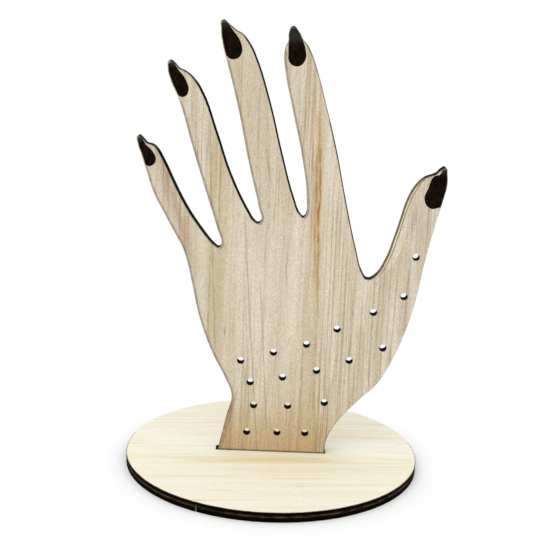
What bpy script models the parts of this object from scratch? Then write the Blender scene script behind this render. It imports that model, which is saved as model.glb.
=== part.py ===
# Hand-shaped jewelry stand: a flat hand cut from sheet wood, standing in the slot of a round base.
# Units are metres, +Z is up, the back of the hand faces -Y.
# The origin lies on the table, under the middle of the stand's overall box.
import math
from collections import namedtuple

import bmesh
import bpy
from mathutils import Vector

# Sheet stock, one thickness for both boards
SHEET = 0.0050

# Round base and the slot that takes the foot of the hand
BASE_DIAMETER = 0.1500
BASE_SIDES = 128
SLOT_PLAY = 0.0003        # gap beside each face of the foot
SLOT_LEFT_PLAY = 0.0009   # gap past the left end of the foot
SLOT_RIGHT_PLAY = 0.0003  # gap past its right end
FOOT_RISE = 0.0003        # the foot stops this far above the underside

# Holes that take earring hooks and posts
HOLE_DIAMETER = 0.0034

# Nails, thin inlays glued into shallow pockets in the front face
NAIL_POCKET = 0.0008      # depth of a pocket
NAIL_FIT = 0.0001         # gap round and under a nail
NAIL_MARGIN = 0.0005      # least wood between a nail and the cut edge

# Lengths from the root of each finger to the point of its nail
LITTLE_LENGTH = 0.0595
RING_LENGTH = 0.0915
MIDDLE_LENGTH = 0.1005
INDEX_LENGTH = 0.0935
THUMB_LENGTH = 0.0615

# Lengths from the base of each nail to the point of its finger
LITTLE_NAIL = 0.0159
RING_NAIL = 0.0186
MIDDLE_NAIL = 0.0193
INDEX_NAIL = 0.0189
THUMB_NAIL = 0.0213

# Lean of each finger from upright, in degrees, positive to the left
LITTLE_LEAN = 30.0
RING_LEAN = 22.5
MIDDLE_LEAN = 17.5
INDEX_LEAN = 12.0
THUMB_LEAN = -20.5

# The sides of a finger start this far above its root
WEB_LEVEL = 0.0080

# Foot of the hand, centred on the disc
FOOT_WIDTH = 0.0553

# Fineness of the cut outlines and of the shading
OUTLINE_STEPS = 5
SHARP_ANGLE = 30.0
WELD = 0.000001

# A finger in its own axes. root is (sideways from the foot's middle, up from the base's top).
# left and right hold the sides' places across the axis at the web, the two joints and the nail base.
# left_tip, right_tip and nail hold points as (part of the nail's length down from the tip, place across).
Finger = namedtuple("Finger", "name root lean length nail_length left right left_tip tip right_tip nail")

FINGERS = (
    Finger(
        "little", (-0.0410, 0.1100), LITTLE_LEAN, LITTLE_LENGTH, LITTLE_NAIL,
        left=(-0.0075, -0.0073, -0.0068, -0.0044),
        right=(0.0048, 0.0042, 0.0047, 0.0055),
        left_tip=((0.57, -0.0030), (0.19, -0.0018)),
        tip=0.0001,
        right_tip=((0.14, 0.0014), (0.33, 0.0022), (0.44, 0.0040), (0.60, 0.0052)),
        nail=((0.08, 0.0000), (0.38, 0.0014), (0.66, 0.0026), (0.91, 0.0018), (1.0, -0.0011),
              (0.91, -0.0034), (0.50, -0.0027), (0.25, -0.0018)),
    ),
    Finger(
        "ring", (-0.0207, 0.1138), RING_LEAN, RING_LENGTH, RING_NAIL,
        left=(-0.0081, -0.0065, -0.0047, -0.0027),
        right=(0.0095, 0.0078, 0.0088, 0.0092),
        left_tip=((0.51, -0.0031), (0.17, -0.0023)),
        tip=-0.0002,
        right_tip=((0.13, 0.0017), (0.28, 0.0028), (0.40, 0.0050), (0.62, 0.0074)),
        nail=((0.07, -0.0003), (0.35, 0.0024), (0.67, 0.0038), (0.91, 0.0029), (1.0, 0.0002),
              (0.91, -0.0023), (0.48, -0.0030), (0.24, -0.0025)),
    ),
    Finger(
        "middle", (0.0000, 0.1225), MIDDLE_LEAN, MIDDLE_LENGTH, MIDDLE_NAIL,
        left=(-0.0084, -0.0071, -0.0050, -0.0040),
        right=(0.0095, 0.0098, 0.0108, 0.0100),
        left_tip=((0.57, -0.0038), (0.18, -0.0025)),
        tip=-0.0008,
        right_tip=((0.13, 0.0015), (0.33, 0.0042), (0.47, 0.0068), (0.75, 0.0090)),
        nail=((0.07, -0.0009), (0.36, 0.0030), (0.70, 0.0047), (0.92, 0.0035), (1.0, 0.0001),
              (0.91, -0.0030), (0.52, -0.0036), (0.24, -0.0027)),
    ),
    Finger(
        "index", (0.0227, 0.1250), INDEX_LEAN, INDEX_LENGTH, INDEX_NAIL,
        left=(-0.0082, -0.0067, -0.0073, -0.0077),
        right=(0.0109, 0.0105, 0.0091, 0.0070),
        left_tip=((0.63, -0.0069), (0.45, -0.0054), (0.35, -0.0040), (0.15, -0.0031)),
        tip=-0.0005,
        right_tip=((0.15, 0.0017), (0.40, 0.0034), (0.50, 0.0046), (0.66, 0.0057)),
        nail=((0.06, -0.0005), (0.34, 0.0024), (0.63, 0.0034), (0.87, 0.0025), (1.0, -0.0013),
              (0.87, -0.0050), (0.63, -0.0048), (0.34, -0.0035)),
    ),
    Finger(
        "thumb", (0.0585, 0.0940), THUMB_LEAN, THUMB_LENGTH, THUMB_NAIL,
        left=(-0.0081, -0.0086, -0.0096, -0.0105),
        right=(0.0112, 0.0092, 0.0076, 0.0061),
        left_tip=((0.63, -0.0095), (0.40, -0.0072), (0.20, -0.0028), (0.08, -0.0017)),
        tip=0.0001,
        right_tip=((0.12, 0.0019), (0.35, 0.0041), (0.66, 0.0053)),
        nail=((0.06, 0.0005), (0.26, 0.0030), (0.57, 0.0050), (0.85, 0.0060), (0.92, 0.0046), (1.0, 0.0012),
              (0.87, -0.0030), (0.57, -0.0037), (0.29, -0.0035), (0.21, -0.0014)),
    ),
)

# Rounded bottom of each gap between neighbours: sideways, up, radius, then the arc's first and last angle
WEBS = (
    (-0.0302, 0.1074, 0.0015, 215.0, 345.0),
    (-0.0110, 0.1204, 0.0018, 205.0, 350.0),
    (0.0114, 0.1243, 0.0013, 195.0, 355.0),
    (0.0456, 0.0940, 0.0033, 185.0, 330.0),
)

# Edges of the palm and wrist, from the foot up: height, left edge, right edge
PALM = (
    (0.0070, -0.0261, 0.0282),
    (0.0160, -0.0242, 0.0324),
    (0.0300, -0.0214, 0.0440),
    (0.0390, -0.0248, 0.0527),
    (0.0510, -0.0311, 0.0592),
    (0.0630, -0.0361, 0.0640),
    (0.0750, -0.0399, 0.0676),
    (0.0880, -0.0427, 0.0704),
)
LITTLE_KNUCKLE = (-0.0478, 0.1065)   # below the little finger, on the left edge
INDEX_KNUCKLE = (0.0384, 0.1090)     # below the index finger, on the edge towards the thumb

# Hole rows from the top down, as places (sideways, up)
HOLE_ROWS = (
    ((-0.0173, 0.0490), (-0.0007, 0.0540), (0.0159, 0.0589), (0.0310, 0.0676),
     (0.0489, 0.0771), (0.0637, 0.0859), (0.0684, 0.1064)),
    ((-0.0121, 0.0376), (0.0044, 0.0408), (0.0216, 0.0451), (0.0380, 0.0512), (0.0547, 0.0585)),
    ((-0.0099, 0.0252), (0.0076, 0.0255), (0.0264, 0.0280)),
    ((-0.0130, 0.0105), (0.0027, 0.0108), (0.0171, 0.0110)),
)

# Finishes: linear colour, roughness, metallic
HAND_WOOD = ((0.55, 0.44, 0.31), 0.62, 0.0)
BASE_WOOD = ((0.84, 0.75, 0.57), 0.60, 0.0)
NAIL_BLACK = ((0.012, 0.010, 0.009), 0.42, 0.0)


def clear_scene():
    for obj in list(bpy.data.objects):
        bpy.data.objects.remove(obj, do_unlink=True)


def make_collection(name):
    collection = bpy.data.collections.new(name)
    bpy.context.scene.collection.children.link(collection)
    return collection


def make_material(name, finish):
    colour, roughness, metallic = finish
    material = bpy.data.materials.new(name)
    material.use_nodes = True
    shader = material.node_tree.nodes["Principled BSDF"]
    shader.inputs["Base Color"].default_value = (*colour, 1.0)
    shader.inputs["Roughness"].default_value = roughness
    shader.inputs["Metallic"].default_value = metallic
    return material


def finger_point(finger, along, across):
    lean = math.radians(finger.lean)
    axis = Vector((-math.sin(lean), math.cos(lean)))
    side = Vector((math.cos(lean), math.sin(lean)))
    return Vector(finger.root) + along * axis + across * side


def tip_points(finger, pairs):
    return [finger_point(finger, finger.length - part * finger.nail_length, across) for part, across in pairs]


# Outline of one finger, up its left side, over the nail and down its right side
def finger_outline(finger):
    nail_base = finger.length - finger.nail_length
    step = (nail_base - WEB_LEVEL) / (len(finger.left) - 1)
    levels = [WEB_LEVEL + count * step for count in range(len(finger.left))]
    points = [finger_point(finger, level, across) for level, across in zip(levels, finger.left)]
    points += tip_points(finger, finger.left_tip)
    points.append(finger_point(finger, finger.length, finger.tip))
    points += tip_points(finger, finger.right_tip)
    right = list(zip(levels, finger.right))
    points += [finger_point(finger, level, across) for level, across in reversed(right)]
    return points


# Three points along the rounded bottom of the gap between two fingers
def web_arc(web):
    across, up, radius, first, last = web
    centre = Vector((across, up + radius))
    middle = (first + last) / 2
    angles = [math.radians(angle) for angle in (first, middle, last)]
    return [centre + radius * Vector((math.cos(angle), math.sin(angle))) for angle in angles]


# Outline of the whole hand, clockwise from the left end of the foot. The foot's corners stay sharp.
def hand_outline():
    foot_end = FOOT_WIDTH / 2
    foot_bottom = FOOT_RISE - SHEET
    corners = [Vector((-foot_end, foot_bottom)), Vector((-foot_end, 0.0))]
    smooth = [Vector((left, height)) for height, left, right in PALM]
    smooth.append(Vector(LITTLE_KNUCKLE))
    for finger, web in zip(FINGERS, WEBS):
        smooth += finger_outline(finger)
        if finger.name == "index":
            smooth.append(Vector(INDEX_KNUCKLE))
        smooth += web_arc(web)
    smooth += finger_outline(FINGERS[-1])
    smooth += [Vector((right, height)) for height, left, right in reversed(PALM)]
    ends = [Vector((foot_end, 0.0)), Vector((foot_end, foot_bottom))]
    loop = [(point, "VECTOR") for point in corners]
    loop += [(point, "AUTO") for point in smooth]
    return loop + [(point, "VECTOR") for point in ends]


def circle_outline(centre, diameter):
    radius = diameter / 2
    steps = ((1, 0), (0, 1), (-1, 0), (0, -1))
    return [(Vector(centre) + radius * Vector(step), "AUTO") for step in steps]


# Upright sheet cut to closed loops, given in the plane of the hand, as a mesh object
def cut_sheet(name, loops, thickness, steps, collection, grow=0.0):
    curve = bpy.data.curves.new(name, "CURVE")
    curve.dimensions = "2D"
    curve.fill_mode = "BOTH"
    curve.extrude = thickness / 2
    curve.offset = grow
    curve.resolution_u = steps
    for loop in loops:
        spline = curve.splines.new("BEZIER")
        spline.use_cyclic_u = True
        spline.bezier_points.add(len(loop) - 1)
        for knot, (point, handle) in zip(spline.bezier_points, loop):
            knot.co = (point.x, point.y, 0.0)
        for knot, (point, handle) in zip(spline.bezier_points, loop):
            knot.handle_left_type = handle
            knot.handle_right_type = handle
    drawn = bpy.data.objects.new(name + "_outline", curve)
    drawn.rotation_euler = (math.pi / 2, 0.0, 0.0)
    collection.objects.link(drawn)
    bpy.context.view_layer.update()
    evaluated = drawn.evaluated_get(bpy.context.evaluated_depsgraph_get())
    mesh = bpy.data.meshes.new_from_object(evaluated)
    mesh.name = name
    shape = bmesh.new()
    shape.from_mesh(mesh)
    bmesh.ops.remove_doubles(shape, verts=shape.verts, dist=WELD)
    bmesh.ops.recalc_face_normals(shape, faces=shape.faces)
    shape.to_mesh(mesh)
    shape.free()
    obj = bpy.data.objects.new(name, mesh)
    obj.matrix_world = drawn.matrix_world
    collection.objects.link(obj)
    bpy.data.objects.remove(drawn, do_unlink=True)
    return obj


def shade_round(obj):
    obj.data.shade_smooth()
    obj.data.set_sharp_from_angle(angle=math.radians(SHARP_ANGLE))


def hide_cutter(obj):
    obj.hide_render = True
    obj.display_type = "WIRE"


def cut_away(obj, cutter):
    boolean = obj.modifiers.new("cut_" + cutter.name, "BOOLEAN")
    boolean.operation = "DIFFERENCE"
    boolean.solver = "EXACT"
    boolean.object = cutter


def keep_inside(obj, limit):
    boolean = obj.modifiers.new("inside_" + limit.name, "BOOLEAN")
    boolean.operation = "INTERSECT"
    boolean.solver = "EXACT"
    boolean.object = limit


def make_hand(parts):
    loops = [hand_outline()]
    for row in HOLE_ROWS:
        loops += [circle_outline(place, HOLE_DIAMETER) for place in row]
    hand = cut_sheet("hand_panel", loops, SHEET, OUTLINE_STEPS, parts)
    hand.data.materials.append(make_material("hand_wood", HAND_WOOD))
    shade_round(hand)
    return hand


# The hand's outline drawn in by a margin, as a thick sheet that a nail or a pocket may not leave
def make_limit(name, margin, cutters):
    limit = cut_sheet(name, [hand_outline()], 2 * SHEET, OUTLINE_STEPS, cutters, -margin)
    hide_cutter(limit)
    return limit


# A nail lies flush with the front face, a little smaller than the pocket that holds it
def make_nail(finger, hand, nail_limit, pocket_limit, parts, cutters):
    loop = [(point, "AUTO") for point in tip_points(finger, finger.nail)]
    thickness = NAIL_POCKET - NAIL_FIT
    nail = cut_sheet(finger.name + "_nail", [loop], thickness, OUTLINE_STEPS, parts)
    nail.location.y = (thickness - SHEET) / 2
    keep_inside(nail, nail_limit)
    nail.data.materials.append(make_material(finger.name + "_nail_black", NAIL_BLACK))
    shade_round(nail)
    pocket = cut_sheet(finger.name + "_pocket", [loop], 2 * NAIL_POCKET, OUTLINE_STEPS, cutters, NAIL_FIT)
    pocket.location.y = -SHEET / 2
    keep_inside(pocket, pocket_limit)
    hide_cutter(pocket)
    cut_away(hand, pocket)
    return nail, pocket


def make_base(parts, cutters):
    bpy.ops.mesh.primitive_cylinder_add(
        vertices=BASE_SIDES, radius=BASE_DIAMETER / 2, depth=SHEET, location=(0.0, 0.0, SHEET / 2))
    base = bpy.context.object
    base.name = "base_disc"
    bpy.context.collection.objects.unlink(base)
    parts.objects.link(base)
    base.data.materials.append(make_material("base_wood", BASE_WOOD))
    shade_round(base)
    slot_middle = (SLOT_RIGHT_PLAY - SLOT_LEFT_PLAY) / 2
    bpy.ops.mesh.primitive_cube_add(size=1.0, location=(slot_middle, 0.0, SHEET / 2))
    slot = bpy.context.object
    slot.name = "foot_slot"
    slot.dimensions = (FOOT_WIDTH + SLOT_LEFT_PLAY + SLOT_RIGHT_PLAY, SHEET + 2 * SLOT_PLAY, 2 * SHEET)
    bpy.context.collection.objects.unlink(slot)
    cutters.objects.link(slot)
    hide_cutter(slot)
    cut_away(base, slot)
    return base, slot


# The thumb may reach past the disc, so the disc's middle is set off until the overall box is centred
def middle_offset(hand):
    across = [(hand.matrix_world @ vertex.co).x for vertex in hand.data.vertices]
    right = max(BASE_DIAMETER / 2, max(across))
    left = min(-BASE_DIAMETER / 2, min(across))
    return -(left + right) / 2


def build():
    clear_scene()
    parts = make_collection("hand_jewelry_stand")
    cutters = make_collection("hand_jewelry_stand_cutters")
    base, slot = make_base(parts, cutters)
    hand = make_hand(parts)
    nail_limit = make_limit("nail_limit", NAIL_MARGIN, cutters)
    pocket_limit = make_limit("pocket_limit", NAIL_MARGIN - NAIL_FIT, cutters)
    pieces = [hand, nail_limit, pocket_limit]
    for finger in FINGERS:
        pieces += make_nail(finger, hand, nail_limit, pocket_limit, parts, cutters)
    offset = middle_offset(hand)
    base.location.x += offset
    slot.location.x += offset
    lift = bpy.data.objects.new("hand_lift", None)
    lift.location = (offset, 0.0, SHEET)
    parts.objects.link(lift)
    for piece in pieces:
        piece.parent = lift


build()
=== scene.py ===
# Looks of a hand-shaped jewelry stand: two pale wooden boards with burnt edges, and black nails
import math

import bmesh
import bpy
from mathutils import Matrix, Vector
from mathutils.kdtree import KDTree


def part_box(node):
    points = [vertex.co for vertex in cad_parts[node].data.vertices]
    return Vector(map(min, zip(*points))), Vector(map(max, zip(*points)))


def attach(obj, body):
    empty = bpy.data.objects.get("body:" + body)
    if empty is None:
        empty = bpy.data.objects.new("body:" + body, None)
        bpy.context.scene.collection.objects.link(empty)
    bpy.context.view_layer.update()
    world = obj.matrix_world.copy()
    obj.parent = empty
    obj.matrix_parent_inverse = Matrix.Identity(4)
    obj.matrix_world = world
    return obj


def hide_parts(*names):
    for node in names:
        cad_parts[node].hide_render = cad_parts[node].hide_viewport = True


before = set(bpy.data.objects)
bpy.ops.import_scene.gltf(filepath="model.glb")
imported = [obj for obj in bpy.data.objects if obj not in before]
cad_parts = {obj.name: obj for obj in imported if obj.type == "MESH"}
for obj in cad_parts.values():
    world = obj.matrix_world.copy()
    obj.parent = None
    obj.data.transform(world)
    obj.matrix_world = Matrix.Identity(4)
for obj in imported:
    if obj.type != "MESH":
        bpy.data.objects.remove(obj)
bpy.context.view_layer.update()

mm = 0.001
discLow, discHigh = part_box("base_disc")
handLow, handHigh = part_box("hand_panel")
discMiddle = (discLow + discHigh) / 2
sheet = discHigh.z - discLow.z
discRadius = (discHigh.x - discLow.x) / 2
print("frame loaded, sheet", round(sheet / mm, 2), "mm, disc radius", round(discRadius / mm, 1), "mm")


# Screen colour 0 to 255 as the linear colour that a shader takes
def tone(red, green, blue):
    linear = []
    for part in (red / 255, green / 255, blue / 255):
        linear.append(part / 12.92 if part <= 0.04045 else ((part + 0.055) / 1.055) ** 2.4)
    return (*linear, 1.0)


# Small helpers for node trees

def putNode(tree, kind, **settings):
    node = tree.nodes.new(kind)
    for key, value in settings.items():
        setattr(node, key, value)
    return node


def feed(tree, socket, value):
    if isinstance(value, bpy.types.NodeSocket):
        tree.links.new(value, socket)
    else:
        socket.default_value = value


def calc(tree, operation, first, second=0.0, third=None, clamp=False):
    node = putNode(tree, "ShaderNodeMath", operation=operation, use_clamp=clamp)
    feed(tree, node.inputs[0], first)
    feed(tree, node.inputs[1], second)
    if third is not None:
        feed(tree, node.inputs[2], third)
    return node.outputs[0]


def times(tree, first, second):
    return calc(tree, "MULTIPLY", first, second)


def ramp(tree, value, fromLow, fromHigh, toLow=0.0, toHigh=1.0):
    node = putNode(tree, "ShaderNodeMapRange", interpolation_type="SMOOTHSTEP")
    feed(tree, node.inputs["Value"], value)
    ends = {"From Min": fromLow, "From Max": fromHigh, "To Min": toLow, "To Max": toHigh}
    for label, level in ends.items():
        node.inputs[label].default_value = level
    return node.outputs["Result"]


def blendColour(tree, factor, first, second, how="MIX"):
    node = putNode(tree, "ShaderNodeMix", data_type="RGBA", blend_type=how)
    feed(tree, node.inputs["Factor"], factor)
    feed(tree, node.inputs[6], first)
    feed(tree, node.inputs[7], second)
    return node.outputs[2]


def stretch(tree, vector, scale):
    node = putNode(tree, "ShaderNodeVectorMath", operation="MULTIPLY")
    feed(tree, node.inputs[0], vector)
    node.inputs[1].default_value = scale
    return node.outputs[0]


def cloud(tree, vector, scale, detail, roughness):
    node = putNode(tree, "ShaderNodeTexNoise")
    feed(tree, node.inputs["Vector"], stretch(tree, vector, scale))
    node.inputs["Scale"].default_value = 1.0
    node.inputs["Detail"].default_value = detail
    node.inputs["Roughness"].default_value = roughness
    return node.outputs["Fac"]


def splitPlace(tree, vector):
    node = putNode(tree, "ShaderNodeSeparateXYZ")
    feed(tree, node.inputs[0], vector)
    return node.outputs


def joinPlace(tree, across, depth, along):
    node = putNode(tree, "ShaderNodeCombineXYZ")
    feed(tree, node.inputs[0], across)
    feed(tree, node.inputs[1], depth)
    feed(tree, node.inputs[2], along)
    return node.outputs[0]


# Lightens or darkens a colour by a grey level
def shadeColour(tree, colour, level):
    return blendColour(tree, 1.0, colour, joinPlace(tree, level, level, level), "MULTIPLY")


def addRelief(tree, shader, height, strength, distance):
    bump = putNode(tree, "ShaderNodeBump")
    bump.inputs["Strength"].default_value = strength
    bump.inputs["Distance"].default_value = distance
    feed(tree, bump.inputs["Height"], height)
    feed(tree, shader.inputs["Normal"], bump.outputs[0])


def newGroup(name, inputs, outputs):
    group = bpy.data.node_groups.new(name, "ShaderNodeTree")
    for label, kind, value in inputs:
        socket = group.interface.new_socket(label, in_out="INPUT", socket_type=kind)
        if value is not None:
            socket.default_value = value
    for label, kind in outputs:
        group.interface.new_socket(label, in_out="OUTPUT", socket_type=kind)
    return group, group.nodes.new("NodeGroupInput").outputs, group.nodes.new("NodeGroupOutput").inputs


def placeGroup(tree, group, **values):
    node = putNode(tree, "ShaderNodeGroup", node_tree=group)
    for label, value in values.items():
        feed(tree, node.inputs[label], value)
    return node.outputs


def newMaterial(name):
    material = bpy.data.materials.new(name)
    material.use_nodes = True
    return material, material.node_tree, material.node_tree.nodes["Principled BSDF"]


# Place on the object in mm from the middle of the disc, on the table
def placeInMm(tree):
    coordinate = putNode(tree, "ShaderNodeTexCoord")
    node = putNode(tree, "ShaderNodeVectorMath", operation="MULTIPLY_ADD")
    feed(tree, node.inputs[0], coordinate.outputs["Object"])
    node.inputs[1].default_value = (1 / mm, 1 / mm, 1 / mm)
    node.inputs[2].default_value = (-discMiddle.x / mm, 0.0, 0.0)
    return node.outputs[0]


# Wood grain. Place is (across the grain, through the sheet, along the grain) in mm.
# A noise is a scale, a detail and a roughness. A span turns two values into 0 and 1, or into two others.
grainLook = {
    "wander": ((0.020, 0.02, 0.006), 1.0, 0.5),
    "band": ((0.085, 0.05, 0.0040), 2.0, 0.5),
    "bandSpan": (0.32, 0.68),
    "hue": ((0.130, 0.05, 0.0100), 4.0, 0.65),
    "hueSpan": (0.34, 0.66),
    "rings": ((0.055, 0.03, 0.0022), 1.0, 0.5),
    "ringCount": 12.0,
    "ringRise": (0.30, 0.94),
    "ringFall": (1.0, 0.94),
    "lines": ((0.300, 0.10, 0.0060), 2.0, 0.55),
    "lineSpan": (0.040, 0.0),
    "lineShare": ((0.800, 0.20, 0.0080), 1.0, 0.5),
    "shareSpan": (0.36, 0.62),
    "fibre": ((2.400, 1.00, 0.0750), 3.0, 0.6),
    "fibreSpan": (0.30, 0.70),
    "fleck": ((2.200, 1.00, 0.2200), 1.0, 0.5),
    "fleckSpan": (0.62, 0.76),
    "speckle": ((1.700, 1.70, 1.2000), 2.0, 0.5),
    "speckleSpan": (0.28, 0.72),
}


def makeGrainGroup():
    look = grainLook
    masks = ("Bands", "Hue", "Rings", "Lines", "Fibre", "Flecks", "Speckle")
    group, given, made = newGroup(
        "sheetGrain",
        [("Place", "NodeSocketVector", None), ("Wander", "NodeSocketFloat", 2.0)],
        [(name, "NodeSocketFloat") for name in masks],
    )
    place = splitPlace(group, given["Place"])
    drift = calc(group, "SUBTRACT", cloud(group, given["Place"], *look["wander"]), 0.5)
    across = calc(group, "ADD", place[0], times(group, drift, given["Wander"]))
    bent = joinPlace(group, across, place[1], place[2])
    for mask, name in (("Bands", "band"), ("Hue", "hue"), ("Fibre", "fibre"), ("Flecks", "fleck")):
        feed(group, made[mask], ramp(group, cloud(group, bent, *look[name]), *look[name + "Span"]))
    speckle = cloud(group, given["Place"], *look["speckle"])
    feed(group, made["Speckle"], ramp(group, speckle, *look["speckleSpan"]))
    # Year rings darken slowly and end sharply
    saw = calc(group, "FRACT", times(group, cloud(group, bent, *look["rings"]), look["ringCount"]))
    rings = times(group, ramp(group, saw, *look["ringRise"]), ramp(group, saw, *look["ringFall"]))
    feed(group, made["Rings"], rings)
    # Thin lines lie where a noise crosses its middle
    ridge = calc(group, "SUBTRACT", cloud(group, bent, *look["lines"]), 0.5)
    line = ramp(group, calc(group, "ABSOLUTE", ridge), *look["lineSpan"])
    share = ramp(group, cloud(group, bent, *look["lineShare"]), *look["shareSpan"])
    feed(group, made["Lines"], times(group, line, share))
    return group


# Burnt wall of a cut. Through runs from 0 at the show face to 1 at the other face.
charLook = {
    "veneer": tone(7, 3, 1),
    "core": tone(70, 56, 42),
    "light": tone(128, 113, 72),
    "streak": ((2.6, 0.25, 2.6), 3.0, 0.6),
    "layer": ((0.08, 2.4, 0.08), 3.0, 0.6),
    "patch": ((0.20, 0.30, 0.20), 3.0, 0.5),
    "coreRise": (0.30, 0.42),
    "coreFall": (0.50, 0.62, 1.0, 0.0),
    "patchSpan": (0.36, 0.62, 0.25, 1.0),
    "shadeSpan": (0.12, 0.40, 0.55, 1.45),
    "coreSink": 0.3,
}


def makeCharGroup():
    look = charLook
    group, given, made = newGroup(
        "burntCut",
        [
            ("Place", "NodeSocketVector", None),
            ("Through", "NodeSocketFloat", 0.5),
            ("Light", "NodeSocketFloat", 0.0),
            ("Core", "NodeSocketFloat", 1.0),
        ],
        [("Colour", "NodeSocketColor"), ("Height", "NodeSocketFloat")],
    )
    rise = ramp(group, given["Through"], *look["coreRise"])
    core = times(group, rise, ramp(group, given["Through"], *look["coreFall"]))
    streak = cloud(group, given["Place"], *look["streak"])
    patch = ramp(group, cloud(group, given["Place"], *look["patch"]), *look["patchSpan"])
    coreShare = times(group, times(group, core, patch), given["Core"])
    colour = blendColour(group, coreShare, look["veneer"], look["core"])
    colour = blendColour(group, given["Light"], colour, look["light"])
    layer = cloud(group, given["Place"], *look["layer"])
    shade = ramp(group, times(group, streak, layer), *look["shadeSpan"])
    feed(group, made["Colour"], shadeColour(group, colour, shade))
    feed(group, made["Height"], calc(group, "SUBTRACT", streak, times(group, core, look["coreSink"])))
    return group


# A streak along the grain: soft across, faded at both ends, and Sharp times narrower on its right side
def makeStreakGroup():
    names = ("Across", "Along", "Middle", "Lean", "Width", "Low", "High", "Fade", "Sharp")
    group, given, made = newGroup(
        "grainStreak", [(name, "NodeSocketFloat", 0.0) for name in names], [("Mask", "NodeSocketFloat")]
    )
    line = calc(group, "ADD", given["Middle"], times(group, given["Along"], given["Lean"]))
    signed = calc(group, "SUBTRACT", given["Across"], line)
    right = times(group, signed, given["Sharp"])
    distance = calc(group, "MAXIMUM", times(group, signed, -1.0), right)
    body = calc(group, "SUBTRACT", 1.0, calc(group, "DIVIDE", distance, given["Width"], clamp=True))
    aboveLow = calc(group, "SUBTRACT", given["Along"], given["Low"])
    belowHigh = calc(group, "SUBTRACT", given["High"], given["Along"])
    rise = calc(group, "DIVIDE", aboveLow, given["Fade"], clamp=True)
    fall = calc(group, "DIVIDE", belowHigh, given["Fade"], clamp=True)
    feed(group, made["Mask"], times(group, times(group, body, body), times(group, rise, fall)))
    return group


# Grey at each nail's point, a painted sheen on the nails and grey on the wood beside them: its reach in mm,
# and the share of it that is fully grey
tipGreyAndSheen = {
    "reach": {"little": 2.6, "ring": 2.6, "middle": 3.2, "index": 9.5, "thumb": 2.4},
    "fullShare": 0.35,
}


def makeTipGroup():
    group, given, made = newGroup(
        "tipGreyAndSheen", [("Place", "NodeSocketVector", None)], [("Mask", "NodeSocketFloat")]
    )
    flat = stretch(group, given["Place"], (1.0, 0.0, 1.0))
    mask = 0.0
    for name, reach in tipGreyAndSheen["reach"].items():
        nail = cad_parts[name + "_nail"]
        tip = max((nail.matrix_world @ vert.co for vert in nail.data.vertices), key=lambda spot: spot.z)
        node = putNode(group, "ShaderNodeVectorMath", operation="DISTANCE")
        feed(group, node.inputs[0], flat)
        node.inputs[1].default_value = ((tip.x - discMiddle.x) / mm, 0.0, tip.z / mm)
        near = ramp(group, node.outputs["Value"], reach, reach * tipGreyAndSheen["fullShare"])
        mask = calc(group, "MAXIMUM", near, mask)
    feed(group, made["Mask"], mask)
    return group


grainGroup = makeGrainGroup()
charGroup = makeCharGroup()
streakGroup = makeStreakGroup()
tipGroup = makeTipGroup()


# Lays a list of streaks over a colour: middle at z 0, lean, half width, low end, high end, strength
def layStreaks(tree, colour, streaks, across, along, fade, streakColour, ragged=1.0, sharp=1.0):
    for middle, lean, width, low, high, strength in streaks:
        mask = placeGroup(
            tree, streakGroup, Across=across, Along=along, Middle=middle, Lean=lean,
            Width=width, Low=low, High=high, Fade=fade, Sharp=sharp,
        )["Mask"]
        mask = times(tree, mask, times(tree, ragged, strength))
        colour = blendColour(tree, mask, colour, streakColour)
    return colour


# Scorched rings beside a cut: brown first, black where the cut burnt most. Above wallFrom is the wall itself.
sootLook = {
    "smoke": ((0.35, 0.35, 0.35), 2.0, 0.5),
    "smokeSpan": (0.3, 0.7, 0.65, 1.0),
    "brownSpan": (0.0, 0.5),
    "blackSpan": (0.55, 0.85),
    "wallFrom": 0.995,
}


def laySoot(tree, colour, edge, place, look):
    smoke = ramp(tree, cloud(tree, place, *sootLook["smoke"]), *sootLook["smokeSpan"])
    brown = times(tree, ramp(tree, edge, *sootLook["brownSpan"]), smoke)
    colour = blendColour(tree, brown, colour, look["scorch"])
    return blendColour(tree, ramp(tree, edge, *sootLook["blackSpan"]), colour, look["soot"])


# Roughness and relief that both boards share
boardFinish = {
    "fibreWear": 0.10,
    "wallRoughness": 0.82,
    "fibreHeight": 0.5,
    "poreHeight": -0.7,
    "bumpStrength": 0.25,
    "bumpDistance": 0.06 * mm,
    "specular": 0.03,
}


def finishBoard(tree, shader, grain, wall, char, smoothest):
    look = boardFinish
    wear = calc(tree, "MULTIPLY_ADD", grain["Fibre"], look["fibreWear"], smoothest)
    rough = calc(tree, "MAXIMUM", wear, times(tree, wall, look["wallRoughness"]))
    feed(tree, shader.inputs["Roughness"], rough)
    pores = times(tree, grain["Flecks"], look["poreHeight"])
    height = calc(tree, "ADD", times(tree, grain["Fibre"], look["fibreHeight"]), pores)
    height = calc(tree, "ADD", height, times(tree, wall, char["Height"]))
    addRelief(tree, shader, height, look["bumpStrength"], look["bumpDistance"])
    shader.inputs["Specular IOR Level"].default_value = look["specular"]


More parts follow.
